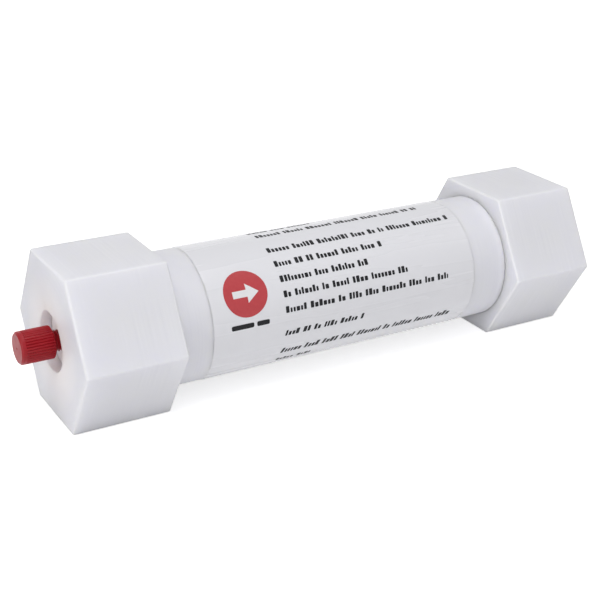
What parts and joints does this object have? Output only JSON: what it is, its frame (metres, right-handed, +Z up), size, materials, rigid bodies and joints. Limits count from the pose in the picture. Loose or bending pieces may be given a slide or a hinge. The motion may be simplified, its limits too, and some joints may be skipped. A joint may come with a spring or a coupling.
{
  "type": "prepacked chromatography column",
  "caption": "Prepacked chromatography column: a round plastic tube with a packed bed, hexagonal screw caps, sealing end fittings and knurled stop plugs.",
  "frame": {"origin": "middle of the column, on the tube's axis", "axes": "+X along the tube towards the outlet end, +Z up from the caps' bottom flats"},
  "size_m": [0.1994, 0.0548, 0.0476],
  "materials": {
    "tube_plastic": "milky turned plastic",
    "cap_plastic": "milky milled plastic",
    "label_film": null,
    "bed_media": "fine packed beads",
    "frit_plastic": "sintered porous plastic",
    "fitting_plastic": "turned plastic",
    "seal_rubber": "black elastomer",
    "washer_plastic": "slippery white plastic",
    "plug_plastic": "moulded red plastic"
  },
  "bodies": {
    "column": {"column_tube": "tube_plastic", "label_film": "label_film", "packed_bed": "bed_media", "inlet_frit": "frit_plastic", "outlet_frit": "frit_plastic", "inlet_end_fitting": "fitting_plastic", "outlet_end_fitting": "fitting_plastic", "inlet_first_o_ring": "seal_rubber", "inlet_second_o_ring": "seal_rubber", "outlet_first_o_ring": "seal_rubber", "outlet_second_o_ring": "seal_rubber"},
    "inlet_washer": {"inlet_slip_washer": "washer_plastic"},
    "inlet_cap": {"inlet_cap": "cap_plastic"},
    "inlet_plug": {"inlet_stop_plug": "plug_plastic"},
    "outlet_washer": {"outlet_slip_washer": "washer_plastic"},
    "outlet_cap": {"outlet_cap": "cap_plastic"},
    "outlet_plug": {"outlet_stop_plug": "plug_plastic"}
  },
  "joints": [
    {"name": "inlet_cap_lift", "type": "slide", "parent": "column", "child": "inlet_washer", "axis": [-1, 0, 0], "range_m": [0, 0.018]},
    {"name": "inlet_cap_turn", "type": "hinge", "parent": "inlet_washer", "child": "inlet_cap", "pos_m": [-0.07445, 0, 0], "axis": [-1, 0, 0], "range_deg": [0, 1620]},
    {"name": "inlet_plug_draw", "type": "slide", "parent": "column", "child": "inlet_plug", "axis": [-1, 0, 0], "range_m": [0, 0.012]},
    {"name": "outlet_cap_lift", "type": "slide", "parent": "column", "child": "outlet_washer", "axis": [1, 0, 0], "range_m": [0, 0.018]},
    {"name": "outlet_cap_turn", "type": "hinge", "parent": "outlet_washer", "child": "outlet_cap", "pos_m": [0.07445, 0, 0], "axis": [1, 0, 0], "range_deg": [0, 1620]},
    {"name": "outlet_plug_draw", "type": "slide", "parent": "column", "child": "outlet_plug", "axis": [1, 0, 0], "range_m": [0, 0.012]}
  ],
  "couplings": [
    {"joint": "inlet_cap_lift", "follows": "inlet_cap_turn", "m_per_rad": 0.0006366},
    {"joint": "outlet_cap_lift", "follows": "outlet_cap_turn", "m_per_rad": 0.0006366}
  ]
}
